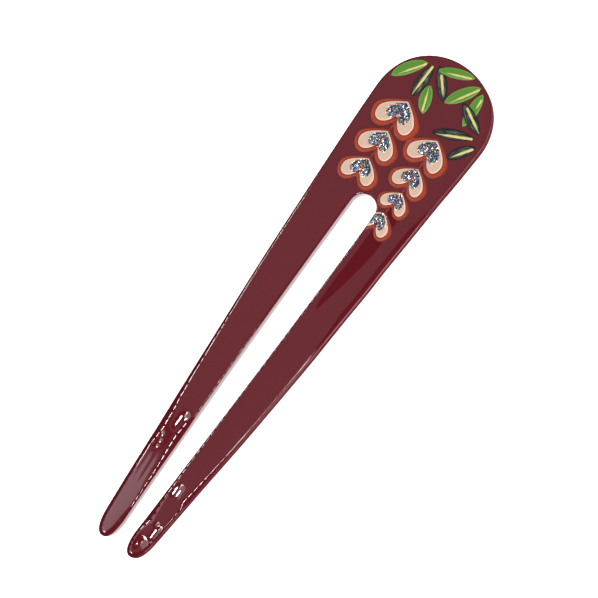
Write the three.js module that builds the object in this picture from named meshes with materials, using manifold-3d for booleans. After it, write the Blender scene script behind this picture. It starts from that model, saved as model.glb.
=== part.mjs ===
// Decorative two-prong hair pin: a flat fork cut from one sheet of glossy cellulose acetate,
// with a hanging spray of heart-shaped petals and leaves built up in lacquer on its round head.
//
// Millimetres. +Y runs from the prong tips to the head, +X across the pin, and +Z out of the
// decorated face. The origin is under the middle of the pin, on the plane that it rests on.
import * as THREE from 'three';
import { mergeVertices } from 'three/addons/utils/BufferGeometryUtils.js';
import Module from 'manifold-3d';

const wasm = await Module();
wasm.setup();

// Driving dimensions of the acetate fork
const LENGTH = 135; // prong tips to the end of the head
const THICKNESS = 3.5; // sheet
const HEAD_RADIUS = 14.3;
const EDGE_ROUND = 0.4; // tumbled outer edge
const SHOULDER_SLOPE = 0.048; // sideways run of the outline per mm, where it leaves the head
const PRONG_SLOPE = 0.084; // the same beside the prong tips
const PRONG_HALF_SPAN = 6.85; // centre line to the outer side of a prong, where its tip starts
const PRONG_TIP_REACH = 6.1; // length of the rounded outer side of a tip
const APEX_OFFSET = 4.1; // centre line to the lowest point of a prong

// The slot between the prongs
const SLOT_RADIUS = 3.24; // round end, and half of the slot's width below it
const SLOT_END_Y = 27.8; // centre of the round end
const SLOT_MOUTH_HALF = 1.83; // half of the slot's width beside the tips
const SLOT_TIP_REACH = 5; // length of the rounded inner side of a tip

// Lacquer
const COAT = 0.2; // thickness of one coat
const VEIN_COAT = 0.1;
const VEIN_WIDTH = 0.42;
const CLEARANCE = 0.3; // a piece trimmed around its neighbour stays this far from it

const TOP = THICKNESS;
const HEAD_Y = LENGTH / 2 - HEAD_RADIUS;
const TIP_Y = -LENGTH / 2;

const FINISH = {
  acetate: { color: 0x5c161a, roughness: 0.08, metalness: 0 },
  border: { color: 0xb8421f, roughness: 0.35, metalness: 0 },
  petal: { color: 0xe8c8af, roughness: 0.45, metalness: 0 },
  glitter: { color: 0x3c3f78, roughness: 0.3, metalness: 0.4 },
  lightLeaf: { color: 0x56a53c, roughness: 0.35, metalness: 0 },
  darkLeaf: { color: 0x1c3a34, roughness: 0.4, metalness: 0 },
  vein: { color: 0xdccb86, roughness: 0.35, metalness: 0.2 },
};

// Proportions of a heart of size 1, in millimetres: its reach to the left and right of its axis,
// and its height. Then, as shares of those: how far down it is widest, how far out a lobe is
// lowest, and how far down the notch is. drop is from the border's tip to this coat's tip.
const BORDER = {
  left: 6.3, right: 6.05, height: 9.1, widest: 0.58, foot: 0.55, notch: 0.69, drop: 0,
};
const PETAL = {
  left: 5.3, right: 4.5, height: 7.1, widest: 0.67, foot: 0.66, notch: 0.56, drop: 0.72,
};
const GLITTER = {
  left: 2.9, right: 2.75, height: 4.8, widest: 0.66, foot: 0.6, notch: 0.8, drop: 1.12,
};

// The spray hangs in two columns. x and y are the tip of a heart's border, which points to the
// head, and sag is how much lower its right lobe hangs than its left. A heart's border stops
// short of the ones named in under.
const HEARTS = [
  { name: 'heart_1', x: -5.9, y: 54.2, size: 1, sag: -0.15, under: ['heart_2', 'heart_3'] },
  { name: 'heart_2', x: -5.7, y: 46.0, size: 0.9, sag: -0.1, under: ['heart_4'] },
  { name: 'heart_3', x: 5.0, y: 50.72, size: 0.94, sag: 0.4, under: ['heart_5'] },
  { name: 'heart_4', x: -5.5, y: 38.4, size: 0.84, sag: -0.45, under: [] },
  { name: 'heart_5', x: 5.3, y: 42.85, size: 0.81, sag: 0.25, under: ['heart_6'] },
  { name: 'heart_6', x: 5.5, y: 36.15, size: 0.67, sag: 0.3, under: ['heart_7'], atSlot: true },
  { name: 'heart_7', x: 4.85, y: 30.2, size: 0.71, sag: 0.3, under: [], atSlot: true },
];

// A leaf runs from its stem to its tip, and bulges to the left and right of that line. A leaf
// crosses over the leaves named in over, and stops short of the hearts named in under.
const LEAVES = [
  {
    name: 'leaf_light_1', finish: 'lightLeaf', stem: [-12.9, 56.2], tip: [-7.6, 63.4],
    left: 1.75, right: 1.05, vein: [[-11.75, 57.4], [-7.6, 63.1]],
  },
  {
    name: 'leaf_light_2', finish: 'lightLeaf', stem: [-4.6, 63.4], tip: [3.5, 66.6],
    left: 1.35, right: 1.05, vein: [[-2.9, 63.8], [2.95, 66.15]], over: ['leaf_dark_2'],
  },
  {
    name: 'leaf_light_3', finish: 'lightLeaf', stem: [-4.0, 59.5], tip: [-1.6, 53.2],
    left: 1.15, right: 1.75, vein: [[-3.9, 58.7], [-1.95, 53.5]], over: ['leaf_dark_1'],
  },
  {
    name: 'leaf_light_4', finish: 'lightLeaf', stem: [0.95, 58.1], tip: [5.9, 65.55],
    left: 1.55, right: 1.4, vein: [[2.1, 58.8], [5.9, 65.1]], over: ['leaf_dark_2'],
  },
  {
    name: 'leaf_light_5', finish: 'lightLeaf', stem: [7.7, 56.0], tip: [7.15, 64.65],
    left: 1.3, right: 1.3, vein: [[7.85, 60.9], [7.65, 63.5]],
  },
  {
    name: 'leaf_dark_1', finish: 'darkLeaf', stem: [-6.15, 63.6], tip: [-6.0, 55.0],
    left: 1.35, right: 1.45, vein: [[-6.25, 55.3], [-6.12, 63.5]],
  },
  {
    name: 'leaf_dark_2', finish: 'darkLeaf', stem: [-4.95, 64.3], tip: [0.7, 58.0],
    left: 1.35, right: 1.1, vein: [[0.04, 59.0], [-3.45, 62.95]],
  },
  {
    name: 'leaf_dark_3', finish: 'darkLeaf', stem: [4.55, 60.5], tip: [11.9, 56.6],
    left: 1.0, right: 1.15, vein: [[11.75, 56.85], [5.9, 60.1]], over: ['leaf_light_5'],
  },
  {
    name: 'leaf_dark_4', finish: 'darkLeaf', stem: [2.7, 51.1], tip: [11.5, 55.2],
    left: 1.45, right: 1.15, vein: [[3.7, 51.2], [11.4, 55.0]],
  },
  {
    name: 'leaf_dark_5', finish: 'darkLeaf', stem: [9.2, 48.0], tip: [13.0, 53.8],
    left: 1.45, right: 1.15, vein: [[9.75, 48.8], [12.85, 53.3]], under: ['heart_3'],
  },
];

// --- Solids ---------------------------------------------------------------------------------

function solidOf(geometry) {
  const bare = geometry.clone();
  bare.deleteAttribute('normal');
  bare.deleteAttribute('uv');
  const welded = mergeVertices(bare, 1e-4);
  return new wasm.Manifold(new wasm.Mesh({
    numProp: 3,
    vertProperties: new Float32Array(welded.attributes.position.array),
    triVerts: new Uint32Array(welded.index.array),
  }));
}

function geometryOf(solid) {
  const mesh = solid.getMesh();
  const geometry = new THREE.BufferGeometry();
  geometry.setAttribute('position', new THREE.BufferAttribute(mesh.vertProperties, 3));
  geometry.setIndex(new THREE.BufferAttribute(mesh.triVerts, 1));
  geometry.computeVertexNormals();
  return geometry;
}

function layerGeometry(shape, thickness, curveSegments) {
  return new THREE.ExtrudeGeometry(shape, {
    depth: thickness,
    bevelEnabled: false,
    curveSegments,
  });
}

// A flat layer of an outline, up from the plane z = bottom.
function layer(shape, bottom, thickness, curveSegments) {
  return solidOf(layerGeometry(shape, thickness, curveSegments).translate(0, 0, bottom));
}

// --- Acetate fork ---------------------------------------------------------------------------

// Outline of the fork without its slot, round the head and down to the two tips.
function bladeShape() {
  const tipStartY = TIP_Y + PRONG_TIP_REACH;
  const shoulderAngle = Math.atan(SHOULDER_SLOPE);
  const shoulderX = HEAD_RADIUS * Math.cos(shoulderAngle);
  const shoulderY = HEAD_Y - HEAD_RADIUS * Math.sin(shoulderAngle);
  const pull = 0.4 * (shoulderY - tipStartY); // how far each end's direction carries
  const upperX = shoulderX - SHOULDER_SLOPE * pull;
  const lowerX = PRONG_HALF_SPAN + PRONG_SLOPE * pull;
  const cornerX = PRONG_HALF_SPAN - 0.85;
  const besideX = PRONG_HALF_SPAN - 0.23;
  const besideY = tipStartY - 2.8;

  const shape = new THREE.Shape();
  shape.moveTo(-APEX_OFFSET, TIP_Y);
  shape.lineTo(APEX_OFFSET, TIP_Y);
  shape.bezierCurveTo(cornerX, TIP_Y, besideX, besideY, PRONG_HALF_SPAN, tipStartY);
  shape.bezierCurveTo(lowerX, tipStartY + pull, upperX, shoulderY - pull, shoulderX, shoulderY);
  shape.absarc(0, HEAD_Y, HEAD_RADIUS, -shoulderAngle, Math.PI + shoulderAngle, false);
  shape.bezierCurveTo(-upperX, shoulderY - pull, -lowerX, tipStartY + pull,
    -PRONG_HALF_SPAN, tipStartY);
  shape.bezierCurveTo(-besideX, besideY, -cornerX, TIP_Y, -APEX_OFFSET, TIP_Y);
  return shape;
}

// Outline of the slot, which opens between the rounded inner sides of the tips.
function slotShape() {
  const mouthY = TIP_Y + SLOT_TIP_REACH;
  const outside = TIP_Y - 2;
  const lowerX = SLOT_MOUTH_HALF + 0.87;
  const lowerY = mouthY + 30.5;
  const upperY = SLOT_END_Y - 31;
  const flareX = APEX_OFFSET - 1.2;
  const flareY = mouthY - 3.7;
  const throatX = SLOT_MOUTH_HALF + 0.07;

  const shape = new THREE.Shape();
  shape.moveTo(APEX_OFFSET, outside);
  shape.lineTo(APEX_OFFSET, TIP_Y);
  shape.bezierCurveTo(flareX, TIP_Y, throatX, flareY, SLOT_MOUTH_HALF, mouthY);
  shape.bezierCurveTo(lowerX, lowerY, SLOT_RADIUS, upperY, SLOT_RADIUS, SLOT_END_Y);
  shape.absarc(0, SLOT_END_Y, SLOT_RADIUS, 0, Math.PI, false);
  shape.bezierCurveTo(-SLOT_RADIUS, upperY, -lowerX, lowerY, -SLOT_MOUTH_HALF, mouthY);
  shape.bezierCurveTo(-throatX, flareY, -flareX, TIP_Y, -APEX_OFFSET, TIP_Y);
  shape.lineTo(-APEX_OFFSET, outside);
  return shape;
}

const slot = layer(slotShape(), -1, THICKNESS + 3 * COAT + 2, 20);

function forkSolid() {
  const blade = new THREE.ExtrudeGeometry(bladeShape(), {
    depth: THICKNESS - 2 * EDGE_ROUND,
    bevelThickness: EDGE_ROUND,
    bevelSize: EDGE_ROUND,
    bevelOffset: -EDGE_ROUND,
    bevelSegments: 3,
    curveSegments: 22,
  });
  return solidOf(blade.translate(0, 0, EDGE_ROUND)).subtract(slot);
}

// --- Hearts ---------------------------------------------------------------------------------

// One half of a heart from its tip at the origin, round a lobe to the notch: the start, then two
// handles and an end for each of three curves.
function halfHeart(side, reach, height, notchY, proportions) {
  const widestY = -proportions.widest * height;
  const foot = side * proportions.foot * reach;
  return [
    [0, 0],
    [side * 0.35 * reach, -0.12 * height],
    [side * reach, 0.62 * widestY],
    [side * reach, widestY],
    [side * reach, widestY - 0.6 * (height + widestY)],
    [foot + side * 0.22 * reach, -height],
    [foot, -height],
    [foot - side * 0.32 * reach, -height],
    [side * 0.15 * reach, notchY - 0.4 * (height + notchY)],
    [0, notchY],
  ];
}

// grow moves the outline outwards by about that much.
function heartShape(heart, proportions, grow) {
  const height = proportions.height * heart.size + 2 * grow;
  const notchY = -proportions.notch * height;
  const half = (side, reach, lobeHeight) =>
    halfHeart(side, reach * heart.size + grow, lobeHeight, notchY, proportions);
  const left = half(-1, proportions.left, height - heart.sag / 2);
  const right = half(1, proportions.right, height + heart.sag / 2);
  const shape = new THREE.Shape();
  shape.moveTo(...left[0]);
  for (const points of [left, right.reverse()]) {
    for (let i = 1; i < points.length; i += 3) {
      shape.bezierCurveTo(...points[i], ...points[i + 1], ...points[i + 2]);
    }
  }
  return shape;
}

// One coat of a heart, as a layer where the heart hangs.
function heartCoat(heart, proportions, bottom, thickness, grow = 0) {
  const geometry = layerGeometry(heartShape(heart, proportions, grow), thickness, 8);
  geometry.translate(heart.x, heart.y + grow - proportions.drop * heart.size, bottom);
  return solidOf(geometry);
}

// Cuts a layer back from the borders of the hearts that lie over it.
function trimmedByHearts(solid, names) {
  return names.reduce((rest, name) => {
    const over = HEARTS.find(heart => heart.name === name);
    return rest.subtract(heartCoat(over, BORDER, TOP - 1, 2, CLEARANCE));
  }, solid);
}

// The three coats of a heart, each on the one before.
function heartPieces(heart) {
  const border = trimmedByHearts(heartCoat(heart, BORDER, TOP, COAT), heart.under);
  const petal = heartCoat(heart, PETAL, TOP + COAT, COAT);
  const glitter = heartCoat(heart, GLITTER, TOP + 2 * COAT, COAT);
  const pieces = [
    { name: `${heart.name}_border`, finish: 'border', solid: border },
    { name: `${heart.name}_petal`, finish: 'petal', solid: petal },
    { name: `${heart.name}_glitter`, finish: 'glitter', solid: glitter },
  ];
  if (!heart.atSlot) return pieces;
  return pieces.map(piece => ({ ...piece, solid: piece.solid.subtract(slot) }));
}

// --- Leaves ---------------------------------------------------------------------------------

const leafNamed = name => LEAVES.find(leaf => leaf.name === name);

function leafShape(leaf, grow = 0) {
  const along = new THREE.Vector2(...leaf.tip).sub(new THREE.Vector2(...leaf.stem));
  const length = along.length();
  along.normalize();
  const point = (run, side) => [
    leaf.stem[0] + along.x * run - along.y * side,
    leaf.stem[1] + along.y * run + along.x * side,
  ];
  const fullness = 4 / 3; // a curve's handles stand out by this times its bulge
  const left = fullness * (leaf.left + grow);
  const right = fullness * (leaf.right + grow);
  const near = 0.16 * length;
  const far = 0.84 * length;

  const shape = new THREE.Shape();
  shape.moveTo(...point(-grow, 0));
  shape.bezierCurveTo(...point(near, -right), ...point(far, -right), ...point(length + grow, 0));
  shape.bezierCurveTo(...point(far, left), ...point(near, left), ...point(-grow, 0));
  return shape;
}

// One brush stroke, pointed where it starts and blunt where it ends.
function veinShape([start, end]) {
  const along = new THREE.Vector2(...end).sub(new THREE.Vector2(...start));
  const length = along.length();
  along.normalize();
  const point = (run, side) => [
    start[0] + along.x * run - along.y * side,
    start[1] + along.y * run + along.x * side,
  ];
  const half = VEIN_WIDTH / 2;

  const shape = new THREE.Shape();
  shape.moveTo(...point(0, 0));
  shape.lineTo(...point(0.15 * length, -0.7 * half));
  shape.lineTo(...point(length - half, -half));
  shape.quadraticCurveTo(...point(length, -half), ...point(length, 0));
  shape.quadraticCurveTo(...point(length, half), ...point(length - half, half));
  shape.lineTo(...point(0.15 * length, 0.7 * half));
  return shape;
}

// A leaf that crosses others is thick enough to bridge them, and hollowed under where it does.
function leafPieces(leaf) {
  const bridged = leaf.over ?? [];
  const thickness = bridged.length > 0 ? 2 * COAT : COAT;
  const whole = layer(leafShape(leaf), TOP, thickness, 12);
  const bridge = bridged.reduce((rest, name) => {
    const below = layer(leafShape(leafNamed(name), CLEARANCE), TOP - 1, 1 + COAT, 12);
    return rest.subtract(below);
  }, whole);
  return [
    { name: leaf.name, finish: leaf.finish, solid: trimmedByHearts(bridge, leaf.under ?? []) },
    {
      name: leaf.name.replace('leaf', 'vein'), finish: 'vein',
      solid: layer(veinShape(leaf.vein), TOP + thickness, VEIN_COAT, 3),
    },
  ];
}

// --- Assembly -------------------------------------------------------------------------------

const pieces = [
  { name: 'fork_body', finish: 'acetate', solid: forkSolid() },
  ...HEARTS.flatMap(heartPieces),
  ...LEAVES.flatMap(leafPieces),
];

const hairPin = new THREE.Group();
for (const { name, finish, solid } of pieces) {
  const mesh = new THREE.Mesh(geometryOf(solid), new THREE.MeshStandardMaterial(FINISH[finish]));
  mesh.name = name;
  hairPin.add(mesh);
}

export default hairPin;
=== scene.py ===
"""Burgundy hair pin: a polished acetate fork with a spray of hearts and leaves in lacquer.

Every length in the shaping code is in millimetres and becomes metres when a mesh is made.
+Y runs from the prong tips to the head, +X across the pin and +Z out of the decorated face.
"""

import math

import bmesh
import bpy
import numpy as np
from bpy.props import FloatProperty, FloatVectorProperty, IntProperty, PointerProperty
from mathutils import Matrix, Vector
from mathutils.geometry import delaunay_2d_cdt


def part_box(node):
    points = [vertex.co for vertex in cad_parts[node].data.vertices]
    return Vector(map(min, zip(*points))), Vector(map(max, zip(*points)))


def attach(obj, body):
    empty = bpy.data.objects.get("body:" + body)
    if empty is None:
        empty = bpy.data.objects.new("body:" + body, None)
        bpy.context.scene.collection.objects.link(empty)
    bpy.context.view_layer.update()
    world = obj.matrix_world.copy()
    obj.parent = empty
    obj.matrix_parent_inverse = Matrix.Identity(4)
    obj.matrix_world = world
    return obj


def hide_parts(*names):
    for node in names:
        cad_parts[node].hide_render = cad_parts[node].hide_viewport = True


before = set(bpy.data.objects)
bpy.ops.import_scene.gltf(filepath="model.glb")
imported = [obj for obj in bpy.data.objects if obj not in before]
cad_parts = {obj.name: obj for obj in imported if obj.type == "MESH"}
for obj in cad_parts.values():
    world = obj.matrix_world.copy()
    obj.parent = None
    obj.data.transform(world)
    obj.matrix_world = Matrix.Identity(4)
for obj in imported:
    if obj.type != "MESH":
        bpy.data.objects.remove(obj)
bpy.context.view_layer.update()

bl_info = {
    "name": "Lacquered Hair Pin",
    "version": (1, 0, 0),
    "blender": (4, 5, 0),
    "location": "3D View > Sidebar > Hair Pin",
    "description": "Builds an acetate hair pin decorated with lacquer hearts and leaves",
    "category": "Object",
}

MM = 0.001


def from_hex(code):
    """Linear red, green, blue and alpha of an sRGB hex colour."""
    shares = [int(code[i : i + 2], 16) / 255 for i in (1, 3, 5)]
    return tuple(
        s / 12.92 if s <= 0.04045 else ((s + 0.055) / 1.055) ** 2.4 for s in shares
    ) + (1.0,)


def colour(name, code, description):
    """A colour that a user can change, given as sRGB hex."""
    return FloatVectorProperty(
        name=name,
        description=description,
        subtype="COLOR",
        size=4,
        min=0,
        max=1,
        default=from_hex(code),
    )


def length(name, millimetres, description):
    """A length that a user can change."""
    return FloatProperty(
        name=name, description=description, default=millimetres * MM, unit="LENGTH", precision=5
    )


# --- What a user would change -------------------------------------------------------------

FORK_LOW, FORK_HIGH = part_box("fork_body")


class ForkSizes(bpy.types.PropertyGroup):
    """Sizes of the acetate fork."""

    pin_length: length("Length", (FORK_HIGH.y - FORK_LOW.y) / MM, "Prong tips to head")
    thickness: length("Thickness", (FORK_HIGH.z - FORK_LOW.z) / MM, "Of the acetate sheet")
    head_radius: length("Head radius", FORK_HIGH.x / MM, "Of the round head")


class LacquerSizes(bpy.types.PropertyGroup):
    """Sizes of the painted decoration."""

    coat: length("Coat", 0.2, "Thickness of one coat")
    soft_edge: length("Soft edge", 0.28, "Width over which a coat thins out to its edge")
    vein_width: length("Vein width", 0.48, "Width of a vein's brush stroke on a light leaf")
    dark_vein_width: length("Dark vein width", 0.6, "The same on a dark leaf")
    vein_coat: length("Vein coat", 0.1, "How far a vein stands out of its leaf")
    flake: length("Flake", 0.32, "Width of a glitter flake")
    flakes_per_mm2: FloatProperty(
        name="Flakes", description="Glitter flakes on a square millimetre", default=7.5
    )
    seed: IntProperty(name="Seed", description="Scatter of the glitter", default=7)


class FinishColours(bpy.types.PropertyGroup):
    """Colours of the acetate and of the lacquers."""

    acetate: colour("Acetate", "#601820", "Burgundy sheet")
    acetate_cloud: colour("Acetate cloud", "#5A151F", "Darker clouds in the sheet")
    border: colour("Border", "#B13A10", "Rust orange ring of a heart")
    border_edge: colour("Border edge", "#7C3023", "Where the ring thins out over the acetate")
    # Painted shade: a dark line on the ring, where the raised petal would shade it.
    border_line: colour("Border line", "#6E160E", "Dark line beside the petal")
    petal: colour("Petal", "#D6B8A3", "Peach petal")
    # Painted highlight along the edge of a petal.
    petal_rim: colour("Petal rim", "#E9CDBD", "Paler edge of a petal")
    glitter_bed: colour("Glitter bed", "#33355F", "Indigo lacquer that holds the flakes")
    light_leaf: colour("Light leaf", "#57902E", "Leaf green")
    light_leaf_rim: colour("Light leaf rim", "#6BA548", "Paler edge of a light leaf")
    dark_leaf: colour("Dark leaf", "#101F22", "Bottle green")
    dark_leaf_streak: colour("Dark leaf streak", "#66735A", "Dry brush streaks")
    vein: colour("Vein", "#E3D68A", "Straw yellow")
    floor: colour("Floor", "#F7F7F7", "Pale paper under the pin")


# --- Outlines of the fork -----------------------------------------------------------------

SHOULDER_SLOPE = 0.048  # sideways run of the outline per mm, where it leaves the head
PRONG_SLOPE = 0.084  # the same beside the prong tips
SIDE_PULL = 0.4  # how far each end's direction carries, as a share of the side
PRONG_HALF_SPAN = 6.85  # centre line to the outer side of a prong, where its tip starts
PRONG_TIP_REACH = 6.1  # length of the rounded outer side of a tip
APEX_OFFSET = 4.1  # centre line to the lowest point of a prong
SLOT_RADIUS = 3.24
SLOT_END_Y = 27.8  # centre of the slot's round end
SLOT_MOUTH_HALF = 1.83  # half of the slot's width beside the tips
SLOT_TIP_REACH = 5.0  # length of the rounded inner side of a tip
MIRROR = np.array([-1, 1])
# How many points make a tip, the side and the round end, on the outer outline and on the slot.
OUTER_POINTS, SLOT_POINTS = (60, 380, 160), (60, 300, 60)


def cubic(start, first, second, end, count):
    """count + 1 points of a cubic curve."""
    t = np.linspace(0, 1, count + 1)[:, None]
    s = 1 - t
    start, first, second, end = (np.array(p, float) for p in (start, first, second, end))
    return s**3 * start + 3 * s * s * t * first + 3 * s * t * t * second + t**3 * end


def arc(centre, radius, start, end, count):
    """count + 1 points of an arc between two angles."""
    a = np.linspace(start, end, count + 1)
    return np.stack([centre[0] + radius * np.cos(a), centre[1] + radius * np.sin(a)], 1)


def joined(*lines):
    """One line from several that follow each other."""
    return np.concatenate([lines[0], *[line[1:] for line in lines[1:]]])


def closed(outline):
    """An outline that ends where it starts."""
    return np.concatenate([outline, outline[:1]])


def both_halves(half):
    """Closed outline of a symmetrical shape from its right half."""
    return np.concatenate([half, half[::-1] * MIRROR])


def run_along(line):
    """Distance along a line to each of its points."""
    steps = np.linalg.norm(np.diff(line, axis=0), axis=1)
    return np.concatenate([[0], np.cumsum(steps)])


def outer_half(sizes):
    """Right half of the fork's outer outline, from the tip's lowest point to the head's top."""
    half, radius = sizes.pin_length / MM / 2, sizes.head_radius / MM
    head_y, tip_y = half - radius, -half
    tip_start = tip_y + PRONG_TIP_REACH
    lean = math.atan(SHOULDER_SLOPE)
    shoulder = (radius * math.cos(lean), head_y - radius * math.sin(lean))
    pull = SIDE_PULL * (shoulder[1] - tip_start)
    side_low = (PRONG_HALF_SPAN + PRONG_SLOPE * pull, tip_start + pull)
    side_high = (shoulder[0] - SHOULDER_SLOPE * pull, shoulder[1] - pull)
    tip_corner = (PRONG_HALF_SPAN - 0.85, tip_y)
    tip_side = (PRONG_HALF_SPAN - 0.23, tip_start - 2.8)
    start = (PRONG_HALF_SPAN, tip_start)
    at_tip, at_side, at_head = OUTER_POINTS
    return joined(
        cubic((APEX_OFFSET, tip_y), tip_corner, tip_side, start, at_tip),
        cubic(start, side_low, side_high, shoulder, at_side),
        arc((0, head_y), radius, -lean, math.pi / 2, at_head),
    )


def slot_half(sizes):
    """Right half of the slot's outline, from the tip's lowest point to the top of its arch."""
    tip_y = -sizes.pin_length / MM / 2
    mouth_y = tip_y + SLOT_TIP_REACH
    mouth = (SLOT_MOUTH_HALF, mouth_y)
    flare = (APEX_OFFSET - 1.2, tip_y)
    throat = (SLOT_MOUTH_HALF + 0.07, mouth_y - 3.7)
    side_low = (SLOT_MOUTH_HALF + 0.87, mouth_y + 30.5)
    side_high = (SLOT_RADIUS, SLOT_END_Y - 31)
    at_tip, at_side, at_end = SLOT_POINTS
    return joined(
        cubic((APEX_OFFSET, tip_y), flare, throat, mouth, at_tip),
        cubic(mouth, side_low, side_high, (SLOT_RADIUS, SLOT_END_Y), at_side),
        arc((0, SLOT_END_Y), SLOT_RADIUS, 0, math.pi / 2, at_end),
    )


def distance_to(points, line):
    """Distance from each point to a line of points."""
    found = []
    for part in np.array_split(points, max(1, len(points) // 2000)):
        square = ((part[:, None, :] - line[None, :, :]) ** 2).sum(2)
        nearest = square.argmin(1)
        best = np.full(len(part), 1e9)
        for a, b in ((nearest - 1, nearest), (nearest, nearest + 1)):
            a, b = np.clip(a, 0, len(line) - 1), np.clip(b, 0, len(line) - 1)
            run = line[b] - line[a]
            share = ((part - line[a]) * run).sum(1) / np.maximum((run**2).sum(1), 1e-12)
            foot = line[a] + np.clip(share, 0, 1)[:, None] * run
            best = np.minimum(best, np.linalg.norm(part - foot, axis=1))
        found.append(best)
    return np.concatenate(found)


def inside(points, outline):
    """Which points are inside a closed outline."""
    x, y = points[:, 0][:, None], points[:, 1][:, None]
    a, b = outline[None], np.roll(outline, -1, 0)[None]
    rise = np.where(np.abs(b[..., 1] - a[..., 1]) < 1e-12, 1e-12, b[..., 1] - a[..., 1])
    crosses = ((a[..., 1] > y) != (b[..., 1] > y)) & (
        x < (b[..., 0] - a[..., 0]) * (y - a[..., 1]) / rise + a[..., 0]
    )
    return crosses.sum(1) % 2 == 1


def smooth(value):
    """0 below 0, 1 above 1, and a soft step between."""
    v = np.clip(value, 0, 1)
    return v * v * (3 - 2 * v)


def eased(gap, width, drop):
    """How far a face has dropped at that gap from an edge that a buffing wheel has eased."""
    return drop * np.clip(1 - gap / width, 0, 1) ** 3


def rounded_over(gap, width, drop):
    """How far a surface has dropped at that gap from an edge that is rounded to a quarter turn."""
    inward = 1 - np.clip(gap / width, 0, 1)
    return drop * (1 - np.sqrt(np.maximum(0, 1 - inward**2)))


# Along each edge: y, how far in it is eased, and how far down. The edges are buffed by hand, so
# the two prongs differ a little.
EASED_EDGES = {
    "left_outer": (
        (-68, 1.3, 0.4), (-44, 1.3, 0.4), (-40, 2.2, 0.6), (-34, 1.9, 0.51), (-30, 1.5, 0.41),
        (-26, 1.3, 0.36), (-14, 1.0, 0.29), (0, 0.75, 0.3), (22, 0.7, 0.32), (48, 0.7, 0.2),
    ),
    "right_outer": (
        (-68, 1.3, 0.4), (-60, 0.7, 0.2), (-51.5, 0.6, 0.18), (-50.5, 1.6, 0.4),
        (-46, 1.2, 0.3), (-38, 0.8, 0.22), (-26, 0.6, 0.18), (-10, 0.6, 0.25), (0, 0.9, 0.35),
        (5, 1.25, 0.41), (30, 1.25, 0.41), (36, 0.3, 0.02),
    ),
    "left_inner": (
        (-68, 1.2, 0.4), (-62, 1.2, 0.35), (-58, 0.7, 0.2), (-54, 0.8, 0.22), (-50, 1.0, 0.27),
        (-46, 1.35, 0.35), (-42, 1.9, 0.48), (-38, 2.3, 0.58), (-35.5, 2.4, 0.5), (-33, 0.4, 0.12),
    ),
    "right_inner": (
        (-68, 1.2, 0.35), (-61, 0.9, 0.25), (-58, 2.0, 0.42), (-54, 1.3, 0.3), (-50, 0.9, 0.2),
        (-42, 0.65, 0.13), (-34, 0.55, 0.1), (-28, 0.25, 0.12),
    ),
}

# Grooves that hand filing left near the tips: x, the y where one starts and ends, its reach
# across, its depth, and how long it takes to sink and to run out.
GROOVES = (
    (-4.65, -32.9, -38.8, 0.62, 0.139, 2.0, 1.6),
    (4.2, -46.9, -51.2, 0.48, 0.097, 1.6, 1.0),
    (6.0, -57.6, -62.2, 0.45, 0.09, 1.2, 1.0),
    (4.5, -61.6, -66.0, 0.7, 0.13, 2.0, 2.0),
)
# Dents beside them: x, y, reach across and along, depth.
DENTS = (
    (-6.6, -40.9, 0.28, 0.35, 0.06),
    (-6.1, -42.4, 0.28, 0.35, 0.06),
    (-6.0, -43.8, 0.28, 0.35, 0.06),
    (4.85, -58.1, 0.28, 0.35, 0.06),
)
RIM_CHAMFER = 0.2  # width of the chamfer along the right of the head
CHAMFER_SLOPE, CHAMFER_ROUND = 0.88, 0.06
# Of so many rows of faces across the fork, FILED_ROWS keep a file stroke, where the edge slopes
# this much and y is below this.
FILE_ROWS, FILED_ROWS = 6, 2
FILED_SLOPES, FILED_BELOW = (0.05, 0.6), 4


def chamfer(gap):
    """Drop of a narrow, slightly rounded chamfer beside an edge."""
    left = np.clip(RIM_CHAMFER - gap, 0, None)
    return CHAMFER_SLOPE * left + CHAMFER_ROUND * left**2 / RIM_CHAMFER


class Fork:
    """The fork's outlines, and the height of its faces at any place."""

    def __init__(self, sizes):
        self.outer, self.slot = outer_half(sizes), slot_half(sizes)
        self.thickness = sizes.thickness / MM
        self.tip_y = -sizes.pin_length / MM / 2

    def gaps(self, points):
        """Distance of each place to the outer outline and to the slot."""
        folded = np.stack([np.abs(points[:, 0]), points[:, 1]], 1)
        return distance_to(folded, self.outer), distance_to(folded, self.slot)

    def eased_by(self, edge, gap, x, y):
        """Drop beside the outer edge or the slot, shared between the left and the right."""
        blend = np.interp(y, (28, 50), (1.5, 8))  # half the width over which one turns to the other
        share = smooth(0.5 + x / (2 * blend))
        total = 0
        for side, part in (("left", 1 - share), ("right", share)):
            at, width, drop = np.array(EASED_EDGES[side + edge]).T
            total = total + part * eased(gap, np.interp(y, at, width), np.interp(y, at, drop))
        if edge == "_outer":
            total = total + share * smooth((y - 30) / 6) * chamfer(gap)
        return total

    def top(self, points):
        """Height of the decorated face."""
        rim, slot = self.gaps(points)
        x, y = points[:, 0], points[:, 1]
        outer = self.eased_by("_outer", rim, x, y)
        inner = self.eased_by("_inner", slot, x, y)
        drop = (outer**2.5 + inner**2.5) ** 0.4
        return self.thickness - drop - hand_finish(x, y)

    def filed(self, points):
        """Where file strokes crossed an eased edge: its gentler part, along the prongs."""
        x, y = points[:, 0], points[:, 1]
        steep, step = 0, 0.02
        for edge, gap in zip(("_outer", "_inner"), self.gaps(points)):
            fall = self.eased_by(edge, gap, x, y) - self.eased_by(edge, gap + step, x, y)
            steep = np.maximum(steep, fall / step)
        least, most = FILED_SLOPES
        return (steep > least) & (steep < most) & (y < FILED_BELOW)

    def bottom(self, points):
        """Height of the plain back, whose edges are rounded more near the tips."""
        rim, slot = self.gaps(points)
        near_tip = smooth((-30 - points[:, 1]) / 25)
        return rounded_over(rim, 0.9, 0.35) + rounded_over(
            slot, 0.3 + 0.6 * near_tip, 0.2 + 0.15 * near_tip
        )


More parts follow.
